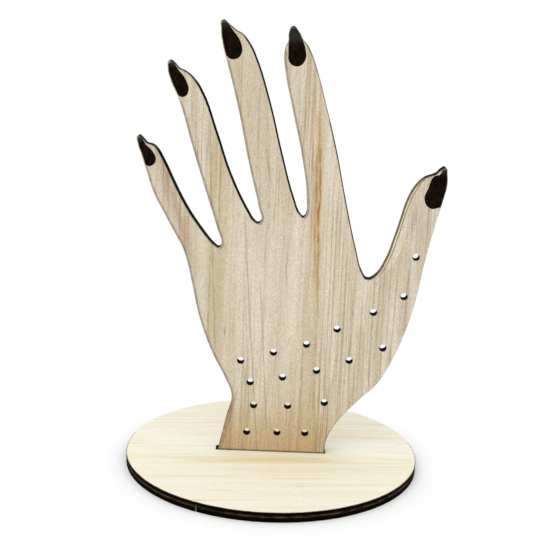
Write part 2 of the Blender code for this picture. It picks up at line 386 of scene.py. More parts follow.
# Wood of the hand, grain upright. Places are in mm right of the disc's middle and above the table.
handWood = {
    "pale": tone(226, 218, 201),
    "deep": tone(208, 197, 166),
    "rose": tone(217, 203, 185),
    "thumb": tone(213, 204, 193),
    "ring": tone(191, 169, 131),
    "line": tone(146, 118, 78),
    "fibre": tone(162, 141, 110),
    "fleck": tone(138, 108, 70),
    "amber": tone(192, 158, 100),
    "brown": tone(144, 104, 57),
    "warmToneAndShade": tone(196, 158, 98),
    "scorch": tone(92, 78, 61),
    "soot": tone(14, 9, 6),
    "tip": tone(48, 50, 46),
    # painted shade where the hand meets the disc
    "seamShade": tone(96, 66, 36),
    "edgePale": tone(233, 221, 184),
    "edgeLine": tone(142, 118, 80),
    "softStreaks": (
        (-12, -0.30, 9, 92, 186, 0.45),
        (-2, -0.06, 9, 104, 222, 0.22),
        (-30, 0, 12, 40, 140, 0.18),
        (52, 0, 13, 36, 108, 0.18),
    ),
    "amberStreaks": (
        (22.8, -0.026, 5.6, 84, 206, 0.95),
        (22.6, -0.026, 8.5, 94, 168, 0.80),
        (21.8, -0.012, 3, 50, 122, 0.62),
        (8.4, 0.071, 1.6, 60, 122, 0.50),
        (-33, 0, 5, 120, 186, 0.25),
    ),
    "brownStreaks": (
        (22.5, -0.026, 1, 94, 172, 1.00),
        (20.6, -0.024, 0.9, 98, 166, 0.90),
        (18.9, -0.024, 0.7, 112, 172, 0.70),
        (21.2, -0.012, 0.7, 50, 120, 0.65),
        (20.9, -0.020, 0.6, 148, 212, 0.45),
        (22, -0.020, 0.7, -5, 66, 0.60),
        (4.7, 0, 0.7, 90, 119, 1.00),
        (-25.1, 0, 0.6, 54, 85, 0.80),
        (14, 0, 0.7, 14, 74, 0.60),
        (23.4, 0, 0.8, 24, 68, 0.70),
    ),
    "paleStreaks": (
        (8.4, 0, 4.2, 48, 150, 0.60),
        (27, -0.026, 6, 60, 206, 0.60),
        (12.6, 0, 1.6, 60, 130, 0.40),
    ),
    "streaks": (
        (23.6, 0, 0.7, -5, 150, 0.45),
        (26.2, 0, 0.6, 4, 140, 0.60),
        (28.2, 0, 0.7, 10, 150, 0.55),
        (32, 0, 0.6, 20, 130, 0.40),
        (34.2, 0, 0.8, 12, 120, 0.55),
        (38.2, 0, 0.7, 30, 110, 0.50),
        (43, 0, 0.7, 30, 100, 0.40),
        (46.6, 0, 0.7, 45, 104, 0.40),
        (51.2, 0, 0.8, 55, 120, 0.45),
        (56.4, 0, 0.7, 60, 132, 0.45),
        (59.6, 0, 0.6, 66, 140, 0.35),
        (-7, -0.082, 0.7, -5, 136, 0.60),
        (-1.5, -0.075, 0.7, 4, 100, 0.55),
        (-10.6, -0.06, 0.5, 20, 96, 0.35),
        (-17.2, 0.02, 0.7, -5, 36, 0.45),
        (-21.8, 0.05, 0.6, -5, 26, 0.30),
        (-13.4, 0.02, 0.5, -5, 42, 0.30),
        (-1.2, 0, 0.5, -5, 26, 0.30),
        (5.6, 0, 0.5, -5, 30, 0.28),
        (9.4, 0, 0.8, -5, 38, 0.38),
        (14.6, -0.01, 0.5, -5, 34, 0.30),
        (-45.4, 0, 0.8, 104, 146, 0.50),
        (-49.6, 0, 0.8, 112, 160, 0.55),
        (-52.4, 0, 0.7, 120, 164, 0.45),
        (-23.5, 0, 0.8, 128, 160, 0.40),
        (-27.9, -0.046, 0.8, 52, 184, 0.52),
        (-34.2, 0, 0.6, 55, 165, 0.45),
        (-36.4, 0, 0.7, 150, 182, 0.50),
        (-47, 0, 1.2, 95, 155, 0.35),
        (-22.4, 0, 1, 186, 206, 0.55),
        (-12, 0, 1.4, 150, 205, 0.35),
        (22, -0.185, 1.1, 138, 170, 0.50),
        (7.1, 0, 1, 184, 200, 0.45),
        (-27.2, 0.230, 0.8, -4, 42, 0.90),
    ),
    "paleFade": 24.0,
    "softFade": 26.0,
    "amberFade": 26.0,
    "amberSharp": 5.0,
    "brownFade": 14.0,
    "streakFade": 14.0,
    "shake": 0.35,
    "wobbleNoise": ((0.16, 0.20, 0.055), 2.0, 0.5),
    "wobble": 3.2,
    "mottle": ((0.75, 0.50, 0.11), 3.0, 0.6),
    "mottleSpan": (0.32, 0.64, 0.25, 1.0),
    "frontSpan": (0.0, -1.0),
    "backShift": (37.0, 0.0, -16.0),
    "wander": 3.0,
    "busySide": (8.0, 26.0),
    "busyFingers": (118.0, 150.0),
    "busyWrist": (64.0, 24.0),
    "busyGain": 0.55,
    "busyLeast": 0.35,
    "hueShare": 0.72,
    "paleSide": (20.0, 27.0, 0.0, 0.5),
    "thumbSide": (57.0, 67.0, 0.0, 0.55),
    "warmRise": (42.0, 2.0, 0.0, 0.64),
    "layers": (("Rings", 0.50, "ring"), ("Fibre", 0.22, "fibre"), ("Lines", 0.60, "line")),
    "fleckShare": 0.35,
    "speckle": (0.0, 1.0, 0.88, 1.08),
    "thumbFrom": (98.0, 104.0),
    "thumbTo": (152.0, 149.0),
    "bandRight": (-0.1, -0.6),
    "bandLeft": (-3.4, -2.8),
    "bandShare": 0.75,
    "bandLight": 0.9,
    "edgeSpan": (0.48, 0.12),
    "edgeShare": 0.85,
    "seamShadeHeight": sheet / mm + 0.15,
    "seamShadeSpan": (0.55, 0.20, 0.0, 0.65),
    "tipShare": 0.85,
    "coreShare": 0.3,
    "smoothest": 0.56,
    # Line that runs inside the thumb's left edge, as (height, distance right of the middle)
    "thumbLine": (
        (98.0, 46.5), (101.4, 50.9), (105.0, 53.1), (113.0, 56.5), (121.5, 58.9),
        (134.0, 62.1), (141.4, 64.5), (145.4, 66.6), (149.1, 68.8), (151.4, 71.7),
    ),
}


# Distance right of the thumb's line in mm
def thumbGap(tree, across, along):
    points = handWood["thumbLine"]
    lowZ, lowX = points[0]
    highZ, highX = points[-1]
    node = putNode(tree, "ShaderNodeFloatCurve")
    curve = node.mapping.curves[0]
    for _ in range(len(points) - 2):
        curve.points.new(0.5, 0.5)
    for spot, (z, x) in zip(curve.points, points):
        spot.location = ((z - lowZ) / (highZ - lowZ), (x - lowX) / (highX - lowX))
        spot.handle_type = "AUTO"
    node.mapping.update()
    height = calc(tree, "DIVIDE", calc(tree, "SUBTRACT", along, lowZ), highZ - lowZ)
    feed(tree, node.inputs["Value"], height)
    line = calc(tree, "MULTIPLY_ADD", node.outputs[0], highX - lowX, lowX)
    return calc(tree, "SUBTRACT", across, line)


# Place in the veneer: the back of the hand is cut from another part of the sheet
def veneerPlace(tree, place, front):
    shift = putNode(tree, "ShaderNodeVectorMath", operation="SCALE")
    shift.inputs[0].default_value = handWood["backShift"]
    feed(tree, shift.inputs["Scale"], calc(tree, "SUBTRACT", 1.0, front))
    veneer = putNode(tree, "ShaderNodeVectorMath", operation="ADD")
    feed(tree, veneer.inputs[0], place)
    feed(tree, veneer.inputs[1], shift.outputs[0])
    return veneer.outputs[0]


def linearRamp(tree, value, fromLow, fromHigh):
    result = ramp(tree, value, fromLow, fromHigh)
    result.node.interpolation_type = "LINEAR"
    return result


def readAttribute(tree, name):
    return putNode(tree, "ShaderNodeAttribute", attribute_name=name).outputs["Fac"]


def makeHandWood():
    look = handWood
    material, tree, shader = newMaterial("handWood")
    place = placeInMm(tree)
    part = splitPlace(tree, place)
    depth, along = part[1], part[2]
    front = ramp(tree, depth, *look["frontSpan"])
    veneer = veneerPlace(tree, place, front)
    veneerPart = splitPlace(tree, veneer)
    across, rise = veneerPart[0], veneerPart[2]
    grain = placeGroup(tree, grainGroup, Place=veneer, Wander=look["wander"])
    busy = ramp(tree, across, *look["busySide"])
    busy = calc(tree, "MAXIMUM", busy, ramp(tree, along, *look["busyFingers"]))
    busy = calc(tree, "MAXIMUM", busy, ramp(tree, along, *look["busyWrist"]))
    busy = calc(tree, "MULTIPLY_ADD", busy, look["busyGain"], look["busyLeast"])

    colour = blendColour(tree, grain["Bands"], look["pale"], look["deep"])
    colour = blendColour(tree, times(tree, grain["Hue"], look["hueShare"]), colour, look["rose"])
    colour = blendColour(tree, ramp(tree, across, *look["paleSide"]), colour, look["pale"])
    colour = blendColour(tree, ramp(tree, across, *look["thumbSide"]), colour, look["thumb"])
    # Warmer and darker towards the foot: partly the wood's own tone, partly painted shade
    colour = blendColour(tree, ramp(tree, along, *look["warmRise"]), colour, look["warmToneAndShade"])
    for name, share, layer in look["layers"]:
        mask = times(tree, grain[name], times(tree, busy, share))
        colour = blendColour(tree, mask, colour, look[layer])
    colour = blendColour(tree, times(tree, grain["Flecks"], look["fleckShare"]), colour, look["fleck"])

    # Streaks shake with the fibres; the amber and brown ones also wobble and are mottled
    fibre = calc(tree, "SUBTRACT", grain["Fibre"], 0.5)
    shake = calc(tree, "MULTIPLY_ADD", fibre, look["shake"], across)
    drift = calc(tree, "SUBTRACT", cloud(tree, veneer, *look["wobbleNoise"]), 0.5)
    wobble = calc(tree, "MULTIPLY_ADD", drift, look["wobble"], shake)
    mottle = ramp(tree, cloud(tree, veneer, *look["mottle"]), *look["mottleSpan"])
    for name, side, streakColour, ragged, sharp in (
        ("pale", shake, "pale", 1.0, 1.0),
        ("soft", across, "brown", 1.0, 1.0),
        ("amber", wobble, "amber", mottle, look["amberSharp"]),
        ("brown", wobble, "brown", mottle, 1.0),
    ):
        streaks, fade = look[name + "Streaks"], look[name + "Fade"]
        colour = layStreaks(tree, colour, streaks, side, rise, fade, look[streakColour], ragged, sharp)
    colour = layStreaks(tree, colour, look["streaks"], shake, rise, look["streakFade"], look["line"])
    colour = shadeColour(tree, colour, ramp(tree, grain["Speckle"], *look["speckle"]))

    # Pale band and thin line inside the thumb's left edge
    gap = thumbGap(tree, part[0], along)
    onThumb = times(tree, ramp(tree, along, *look["thumbFrom"]), ramp(tree, along, *look["thumbTo"]))
    band = times(tree, ramp(tree, gap, *look["bandRight"]), ramp(tree, gap, *look["bandLeft"]))
    band = times(tree, band, onThumb)
    line = times(tree, ramp(tree, calc(tree, "ABSOLUTE", gap), *look["edgeSpan"]), onThumb)
    for mask, share, layer in ((band, look["bandShare"], "edgePale"), (line, look["edgeShare"], "edgeLine")):
        colour = blendColour(tree, times(tree, times(tree, mask, front), share), colour, look[layer])

    # Painted shade: a dark brown band across the hand just above the disc's top, where the foot meets the
    # disc
    seamShade = calc(tree, "ABSOLUTE", calc(tree, "SUBTRACT", along, look["seamShadeHeight"]))
    colour = blendColour(tree, ramp(tree, seamShade, *look["seamShadeSpan"]), colour, look["seamShade"])
    edge = readAttribute(tree, "cutEdge")
    colour = laySoot(tree, colour, edge, place, look)
    tips = times(tree, placeGroup(tree, tipGroup, Place=place)["Mask"], front)
    colour = blendColour(tree, times(tree, tips, look["tipShare"]), colour, look["tip"])
    through = linearRamp(tree, depth, -sheet / 2 / mm, sheet / 2 / mm)
    light = times(tree, band, look["bandLight"])
    char = placeGroup(tree, charGroup, Place=place, Through=through, Light=light, Core=look["coreShare"])
    wall = calc(tree, "GREATER_THAN", edge, sootLook["wallFrom"])
    feed(tree, shader.inputs["Base Color"], blendColour(tree, wall, colour, char["Colour"]))
    finishBoard(tree, shader, grain, wall, char, look["smoothest"])
    return material


# Wood of the disc, paler, grain turned a little from the slot's line
baseWood = {
    "pale": tone(252, 251, 242),
    "deep": tone(248, 243, 221),
    "rose": tone(251, 246, 230),
    "ring": tone(240, 227, 184),
    "line": tone(220, 200, 142),
    "fibre": tone(226, 212, 168),
    "fleck": tone(206, 186, 138),
    "amber": tone(231, 200, 112),
    "scorch": tone(104, 84, 58),
    "soot": tone(20, 13, 9),
    "mark": tone(132, 124, 112),
    "grainTurn": 5.0,
    "wander": 2.0,
    "layers": (
        ("Hue", 0.60, "rose"),
        ("Rings", 0.28, "ring"),
        ("Fibre", 0.16, "fibre"),
        ("Lines", 0.42, "line"),
        ("Flecks", 0.20, "fleck"),
    ),
    "raggedSpan": (0.0, 1.0, 0.35, 0.75),
    "speckle": (0.0, 1.0, 0.960, 1.015),
    "markSpan": (3.6, 0.4, 0.20, 0.80),
    "smoothest": 0.54,
    "amberFade": 16.0,
    "streakFade": 12.0,
    "amberStreaks": (
        (-14.2, 0, 5.4, -52, 42, 0.90),
    ),
    "streaks": (
        (-16.4, 0, 1.3, -42, 34, 0.60),
        (-12.2, 0, 1, -26, 32, 0.50),
        (-10, 0, 0.8, -10, 26, 0.35),
        (-29, 0, 0.9, -15, 80, 0.30),
        (-34.5, 0, 2.2, -68, -12, 0.50),
        (-12.6, 0, 1, 30, 80, 0.32),
        (47, 0, 1.4, -62, -20, 0.30),
        (-61.5, 0, 2, -50, -27, 0.70),
    ),
}


def makeBaseWood():
    look = baseWood
    material, tree, shader = newMaterial("baseWood")
    place = placeInMm(tree)
    turn = putNode(tree, "ShaderNodeMapping", vector_type="POINT")
    feed(tree, turn.inputs["Vector"], place)
    turn.inputs["Rotation"].default_value = (0.0, 0.0, -math.radians(look["grainTurn"]))
    part = splitPlace(tree, turn.outputs[0])
    along, across, depth = part[0], part[1], part[2]
    board = joinPlace(tree, across, depth, along)
    grain = placeGroup(tree, grainGroup, Place=board, Wander=look["wander"])
    colour = blendColour(tree, grain["Bands"], look["pale"], look["deep"])
    for name, share, layer in look["layers"]:
        colour = blendColour(tree, times(tree, grain[name], share), colour, look[layer])
    ragged = ramp(tree, grain["Fibre"], *look["raggedSpan"])
    amber = look["amber"]
    colour = layStreaks(tree, colour, look["amberStreaks"], across, along, look["amberFade"], amber, ragged)
    colour = layStreaks(tree, colour, look["streaks"], across, along, look["streakFade"], amber)
    colour = shadeColour(tree, colour, ramp(tree, grain["Speckle"], *look["speckle"]))
    edge = readAttribute(tree, "cutEdge")
    colour = laySoot(tree, colour, edge, place, look)
    through = linearRamp(tree, depth, sheet / mm, 0.0)
    wallPlace = joinPlace(tree, along, depth, across)
    char = placeGroup(tree, charGroup, Place=wallPlace, Through=through)
    mark = times(tree, readAttribute(tree, "startMark"), ramp(tree, depth, *look["markSpan"]))
    burnt = blendColour(tree, mark, char["Colour"], look["mark"])
    wall = calc(tree, "GREATER_THAN", edge, sootLook["wallFrom"])
    feed(tree, shader.inputs["Base Color"], blendColour(tree, wall, colour, burnt))
    finishBoard(tree, shader, grain, wall, char, look["smoothest"])
    return material


# Matte black of the nails, with a faint brushed grain and a painted grey sheen at their points
nailBlack = {
    "deep": tone(9, 4, 1),
    "worn": tone(42, 25, 12),
    # painted sheen: grey towards the nails' points
    "tip": tone(46, 48, 43),
    "brush": ((2.2, 1.0, 0.5), 3.0, 0.6),
    "patch": ((0.35, 0.35, 0.25), 2.0, 0.5),
    "wornBrush": (0.35, 0.7),
    "wornPatch": (0.3, 0.7),
    "tipBrush": (0.3, 0.7, 0.5, 1.0),
    "roughness": (0.25, 0.75, 0.46, 0.60),
    "bumpStrength": 0.15,
    "bumpDistance": 0.04 * mm,
    "specular": 0.03,
}


def makeNailBlack():
    look = nailBlack
    material, tree, shader = newMaterial("nailBlack")
    place = placeInMm(tree)
    brush = cloud(tree, place, *look["brush"])
    patch = cloud(tree, place, *look["patch"])
    worn = times(tree, ramp(tree, brush, *look["wornBrush"]), ramp(tree, patch, *look["wornPatch"]))
    # Painted sheen: the black turns grey towards each nail's point
    tips = placeGroup(tree, tipGroup, Place=place)["Mask"]
    tips = times(tree, tips, ramp(tree, brush, *look["tipBrush"]))
    colour = blendColour(tree, worn, look["deep"], look["worn"])
    feed(tree, shader.inputs["Base Color"], blendColour(tree, tips, colour, look["tip"]))
    feed(tree, shader.inputs["Roughness"], ramp(tree, patch, *look["roughness"]))
    addRelief(tree, shader, brush, look["bumpStrength"], look["bumpDistance"])
    shader.inputs["Specular IOR Level"].default_value = look["specular"]
    return material


# Modelling helpers

def makeObject(name, data):
    made = bpy.data.objects.new(name, data)
    bpy.context.scene.collection.objects.link(made)
    return made


def makeActive(piece):
    bpy.ops.object.select_all(action="DESELECT")
    piece.select_set(True)
    bpy.context.view_layer.objects.active = piece


def startEdit(piece):
    makeActive(piece)
    bpy.ops.object.mode_set(mode="EDIT")
    bpy.ops.mesh.select_mode(type="FACE")


def endEdit():
    bpy.ops.object.mode_set(mode="OBJECT")


def pickParts(piece, wanted, kind="faces"):
    bpy.ops.mesh.select_all(action="DESELECT")
    shape = bmesh.from_edit_mesh(piece.data)
    for part in getattr(shape, kind):
        if wanted(part):
            part.select_set(True)
    bmesh.update_edit_mesh(piece.data)


weldGap = 0.001 * mm
flatAngle = math.radians(0.05)


# A node's mesh as a new piece, welded and with its flat faces whole again
def copyNode(nodeName, pieceName):
    piece = makeObject(pieceName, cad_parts[nodeName].data.copy())
    piece.data.materials.clear()
    startEdit(piece)
    bpy.ops.mesh.select_all(action="SELECT")
    bpy.ops.mesh.remove_doubles(threshold=weldGap)
    bpy.ops.mesh.customdata_custom_splitnormals_clear()
    bpy.ops.mesh.dissolve_limited(angle_limit=flatAngle)
    endEdit()
    return piece


# How both boards are made: three plies, softened rims and scorched rings on each face. The loops are numbered
# inward: 1 to 3 on the rounded rim, then 4, 5 and 6 at the inner edges of the scorch, burn and smoke rings.
boardMake = {
    "veneer": 0.27,
    "glueLine": 0.05 * mm,
    "coreRecess": 0.06 * mm,
    "roundOff": 0.10 * mm,
    "scorchRing": 0.28 * mm,
    "burnRing": 0.36 * mm,
    "smokeRing": 0.70 * mm,
    "wallTilt": 0.1,
    "faceTilt": 0.99,
    "pocketPart": 0.2,
    "pocketSpare": 1.10 * mm,
    "drawnIn": 0.002,
    "outlineDepth": 0.1 * mm,
    "outlineStep": 0.2 * mm,
    "holeReach": 2.7 * mm,
    "smoothAngle": math.radians(50),
}


def cutPlies(piece, axis, middle):
    half = sheet / 2
    glue = half - boardMake["veneer"] * sheet
    halfLine = boardMake["glueLine"] / 2
    startEdit(piece)
    for level in (-glue - halfLine, -glue + halfLine, glue - halfLine, glue + halfLine):
        bpy.ops.mesh.select_all(action="SELECT")
        bpy.ops.mesh.bisect(plane_co=middle + axis * level, plane_no=axis)

    def inCore(face):
        level = (face.calc_center_median() - middle).dot(axis)
        return abs(face.normal.dot(axis)) < boardMake["wallTilt"] and abs(level) < glue - halfLine

    pickParts(piece, inCore)
    bpy.ops.transform.shrink_fatten(value=-boardMake["coreRecess"])
    endEdit()


# Marks the outer loop of the picked faces with a number
def tagRim(piece, number):
    shape = bmesh.from_edit_mesh(piece.data)
    layer = shape.verts.layers.int.get("rimLoop") or shape.verts.layers.int.new("rimLoop")
    for vert in shape.verts:
        states = {face.select for face in vert.link_faces}
        if len(states) == 2:
            vert[layer] = number
    bmesh.update_edit_mesh(piece.data)


# Draws the wider rings in again where a nail's pocket lies too close
def spareNails(piece, nails):
    shape = bmesh.from_edit_mesh(piece.data)
    layer = shape.verts.layers.int["rimLoop"]
    for number in (5, 6):
        for vert in shape.verts:
            if vert[layer] == number:
                others = [edge.other_vert(vert) for edge in vert.link_edges]
                partner = next(other for other in others if other[layer] == number - 1)
                spot = Vector((partner.co.x, handLow.y, partner.co.z))
                if nails.find(spot)[2] < boardMake["pocketSpare"]:
                    vert.co = partner.co.lerp(vert.co, boardMake["drawnIn"])
    bmesh.update_edit_mesh(piece.data)


# Fills the open face afresh between the innermost rings, so that no old edge of it crosses them
def refillFace(piece, onFace, lastLoop):
    shape = bmesh.from_edit_mesh(piece.data)
    layer = shape.verts.layers.int["rimLoop"]

    def inside(face):
        return onFace(face) and all(vert[layer] in (0, lastLoop) for vert in face.verts)

    pickParts(piece, inside)
    bpy.ops.mesh.delete(type="FACE")
    bpy.ops.mesh.select_mode(type="EDGE")
    bpy.ops.mesh.select_non_manifold(
        extend=False, use_wire=False, use_boundary=True,
        use_multi_face=False, use_non_contiguous=False, use_verts=False,
    )
    bpy.ops.mesh.fill(use_beauty=True)
    bpy.ops.mesh.normals_make_consistent(inside=False)


# Rounds the rim of one face of a board and leaves narrow rings inside it for the scorch
def softenRim(piece, out, middle, nails=None):
    half = sheet / 2
    bend = 1 - math.cos(math.radians(45))
    roundOff = boardMake["roundOff"]

    def onFace(face):
        return min((vert.co - middle).dot(out) for vert in face.verts) > half - weldGap

    def inPocket(face):
        levels = [(vert.co - middle).dot(out) for vert in face.verts]
        return min(levels) > half - boardMake["pocketPart"] * sheet

    startEdit(piece)
    pickParts(piece, lambda face: onFace(face) or inPocket(face))
    tagRim(piece, 1)
    rings = [(2, bend * roundOff), (3, (1 - bend) * roundOff), (4, boardMake["scorchRing"])]
    if nails:
        rings += [(5, boardMake["burnRing"]), (6, boardMake["smokeRing"])]
    for number, width in rings:
        bpy.ops.mesh.inset(thickness=width, use_even_offset=True)
        tagRim(piece, number)
    if nails:
        spareNails(piece, nails)
    refillFace(piece, onFace, rings[-1][0])
    bpy.ops.mesh.select_mode(type="VERT")
    for number, drop in ((1, roundOff), (2, bend * roundOff)):
        shape = bmesh.from_edit_mesh(piece.data)
        layer = shape.verts.layers.int["rimLoop"]

        def onLoop(vert):
            return vert[layer] == number and (vert.co - middle).dot(out) > half - weldGap

        pickParts(piece, onLoop, "verts")
        bpy.ops.transform.translate(value=out * -drop)
    endEdit()


def makeTree(spots):
    tree = KDTree(len(spots))
    for index, spot in enumerate(spots):
        tree.insert(spot, index)
    tree.balance()
    return tree


# Places along the nails' outlines on the show face, to find the slivers of wood beside them
def nailOutlines():
    spots = []
    for name in nailMake["names"]:
        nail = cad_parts[name + "_nail"]
        places = [nail.matrix_world @ vert.co for vert in nail.data.vertices]
        for edge in nail.data.edges:
            start, end = (places[index] for index in edge.vertices)
            if max(start.y, end.y) < handLow.y + boardMake["outlineDepth"]:
                steps = max(1, round((end - start).length / boardMake["outlineStep"]))
                spots += [start.lerp(end, step / steps) for step in range(steps)]
    return makeTree(spots)


# Middles of the small round holes, found from their rims
def holeMiddles(piece):
    mesh = piece.data
    loops = mesh.attributes["rimLoop"].data
    links = {vert.index: [] for vert in mesh.vertices if loops[vert.index].value == 3}
    for edge in mesh.edges:
        first, second = edge.vertices
        if first in links and second in links:
            links[first].append(second)
            links[second].append(first)
    middles = []
    while links:
        loop, waiting = [], [next(iter(links))]
        while waiting:
            index = waiting.pop()
            if index in links:
                loop.append(mesh.vertices[index].co)
                waiting += links.pop(index)
        middle = sum(loop, Vector()) / len(loop)
        if max((spot - middle).length for spot in loop) < boardMake["holeReach"]:
            middles.append(middle)
    print("round holes on both faces", len(middles))
    return makeTree(middles)


# How dark the hand's cuts are: at the rim, inside the scorch and burn rings, and outside and inside the smoke
# ring. Right sides of fingers and lower halves of holes are blackest, left edges smoky, and the thumb's outer
# edge clean. Slivers beside the nails are grey-brown, and black at the thumb's right.
handBurn = {
    "sliverReach": 0.62 * mm,
    "sliver": (0.30,) * 5,
    "lacquerFrom": discMiddle.x + 73.5 * mm,
    "lacquer": (0.98,) * 5,
    "sideways": 0.3,
    "cleanFrom": 52.0,
    "clean": (0.15, 0.05, 0.0, 0.0, 0.0),
    "smokyTo": 36.0,
    "smoky": (0.27, 0.27, 0.30, 0.30, 0.08),
    "lineFrom": 60.0 * mm,
    "line": (0.95, 0.68, 0.20, 0.0, 0.0),
    "blackSide": (22.0, 8.0),
    "blackSpan": (0.62, 0.87),
    "holeSpan": (0.0, 0.6),
    # Level of an even cut, gain where it is burnt, loss where it faces down
    "holeLevel": (0.50, 0.48, 0.60),
    "holeRing": 0.12,
    "edgeLevel": (0.66, 0.32, 0.70),
    # Part of the rim's level on the two inner rings, and gain where it is burnt
    "scorchPart": (0.38, 0.58),
    "burnPart": (0.10, 0.50),
}


def shareOf(value, low, high):
    return min(max((value - low) / (high - low), 0.0), 1.0)


def sootLevel(levels, burn, outward):
    even, gain, loss = levels
    return max(even + gain * burn - loss * max(-outward.z, 0.0), 0.0)


def handSoot(nails, holes):
    def soot(spot, outward):
        side = (spot.x - discMiddle.x) / mm
        if nails.find(spot)[2] < handBurn["sliverReach"]:
            return handBurn["lacquer" if spot.x > handBurn["lacquerFrom"] else "sliver"]
        if holes.find(spot)[2] < boardMake["holeReach"]:
            level = sootLevel(handBurn["holeLevel"], shareOf(outward.z, *handBurn["holeSpan"]), outward)
            return level, handBurn["holeRing"] * level, 0.0, 0.0, 0.0
        toRight = outward.x > handBurn["sideways"]
        if toRight and side > handBurn["cleanFrom"]:
            return handBurn["clean"]
        if outward.x < -handBurn["sideways"] and side < handBurn["smokyTo"]:
            return handBurn["smoky"]
        far, near = handBurn["blackSide"]
        if toRight and side > far and spot.z > handBurn["lineFrom"]:
            return handBurn["line"]
        burn = shareOf(max(outward.x, 0.0) * shareOf(side, far, near), *handBurn["blackSpan"])
        level = sootLevel(handBurn["edgeLevel"], burn, outward)
        parts = (handBurn["scorchPart"], handBurn["burnPart"])
        scorch, burnt = (level * (least + gain * burn) for least, gain in parts)
        return level, scorch, burnt, 0.0, 0.0
    return soot


# How dark the disc's cuts are, at the rim and inside the scorch ring: black at the slot's left end, brown in
# the rest of the slot and on the front of the rim, and hardly marked on the back of the rim
baseBurn = {
    "rimFrom": 0.5 * discRadius,
    "frontTo": 0.2,
    "front": (0.62, 0.20),
    "back": (0.20, 0.05),
    "endFrom": 0.5,
    "slotSide": (0.50, 0.15),
    "slotRight": (0.66, 0.15),
    "slotLeft": (0.98, 0.35),
}


def baseSoot(spot, outward):
    if (spot - discMiddle).length > baseBurn["rimFrom"]:
        return baseBurn["front" if outward.y < baseBurn["frontTo"] else "back"]
    if abs(outward.x) < baseBurn["endFrom"]:
        return baseBurn["slotSide"]
    return baseBurn["slotRight" if outward.x < 0 else "slotLeft"]


# The way out of the board at each tagged place: its normal on the rim, its outer neighbour's way on the rings
def outwardWays(mesh, loops, axis):
    ways = {}
    for vert in mesh.vertices:
        if 0 < loops[vert.index].value < 4:
            ways[vert.index] = (vert.normal - axis * vert.normal.dot(axis)).normalized()
    for number in (4, 5, 6):
        for edge in mesh.edges:
            low, high = sorted(edge.vertices, key=lambda index: loops[index].value)
            if loops[high].value == number and loops[low].value == number - 1:
                ways[high] = ways[low]
    return ways


# Corner values: 1 on burnt walls, less on the scorched rings, 0 on the open face
def writeCutEdge(piece, axis, middle, soot):
    mesh = piece.data
    loops = mesh.attributes["rimLoop"].data
    ways = outwardWays(mesh, loops, axis)
    values = mesh.attributes.new("cutEdge", "FLOAT", "CORNER").data
    for face in mesh.polygons:
        verts = [mesh.loops[corner].vertex_index for corner in face.loop_indices]
        levels = [abs((mesh.vertices[index].co - middle).dot(axis)) for index in verts]
        flat = min(levels) > sheet / 2 - weldGap
        tags = [loops[index].value for index in verts]
        inRing = flat and sorted(tags) in ([3, 3, 4, 4], [4, 4, 5, 5], [5, 5, 6, 6])
        onRim = not flat and 2 in tags and min(tags) > 0
        first = 2 if max(tags) == 6 else 3  # the smoke ring has its own level at its outer edge
        for corner, index, tag in zip(face.loop_indices, verts, tags):
            if inRing or onRim:
                values[corner].value = soot(mesh.vertices[index].co, ways[index])[max(tag - first, 0)]
            elif not flat:
                values[corner].value = 1.0
    mesh.attributes.remove(mesh.attributes["rimLoop"])


def shadePiece(piece, material):
    makeActive(piece)
    bpy.ops.object.shade_smooth_by_angle(angle=boardMake["smoothAngle"])
    piece.data.materials.append(material)


# The upright hand
def makeHandBoard():
    axis = Vector((0.0, 1.0, 0.0))
    middle = Vector((0.0, (handLow.y + handHigh.y) / 2, 0.0))
    piece = copyNode("hand_panel", "handBoard")
    nails = nailOutlines()
    cutPlies(piece, axis, middle)
    softenRim(piece, -axis, middle, nails)
    softenRim(piece, axis, middle, nails)
    writeCutEdge(piece, axis, middle, handSoot(nails, holeMiddles(piece)))
    shadePiece(piece, makeHandWood())
    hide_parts("hand_panel")
    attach(piece, "hand")
    print("hand board", len(piece.data.polygons), "faces")


# The round base, with the nick that the cut left where it began and ended
startNick = {
    "angle": -117.0,
    "halfWidth": 0.30 * mm,
    "depth": 0.12 * mm,
    "reach": 6.0 * mm,
    "top": 0.74 * sheet,
    "wallTilt": 0.5,
}


def cutStartNick(piece):
    angle = math.radians(startNick["angle"])
    out = Vector((math.cos(angle), math.sin(angle), 0.0))
    side = Vector((-math.sin(angle), math.cos(angle), 0.0))
    spot = Vector((discMiddle.x, discMiddle.y, 0.0)) + out * discRadius

    def nearSpot(face):
        middle = face.calc_center_median()
        flatWay = Vector((middle.x, middle.y, 0.0)) - spot
        onWall = middle.z < startNick["top"] and abs(face.normal.z) < startNick["wallTilt"]
        return onWall and flatWay.length < startNick["reach"]

    startEdit(piece)
    for shift in (-startNick["halfWidth"], startNick["halfWidth"]):
        pickParts(piece, nearSpot)
        bpy.ops.mesh.bisect(plane_co=spot + side * shift, plane_no=side)

    def inNick(face):
        return nearSpot(face) and abs((face.calc_center_median() - spot).dot(side)) < startNick["halfWidth"]

    pickParts(piece, inNick)
    bpy.ops.transform.translate(value=out * -startNick["depth"])
    endEdit()
    values = piece.data.attributes.new("startMark", "FLOAT", "CORNER").data
    for face in piece.data.polygons:
        offset = face.center - spot
        onWall = face.center.z < startNick["top"] and abs(face.normal.z) < startNick["wallTilt"]
        near = offset.length < startNick["reach"]
        inside = onWall and near and abs(offset.dot(side)) < startNick["halfWidth"]
        for corner in face.loop_indices:
            values[corner].value = 1.0 if inside else 0.0


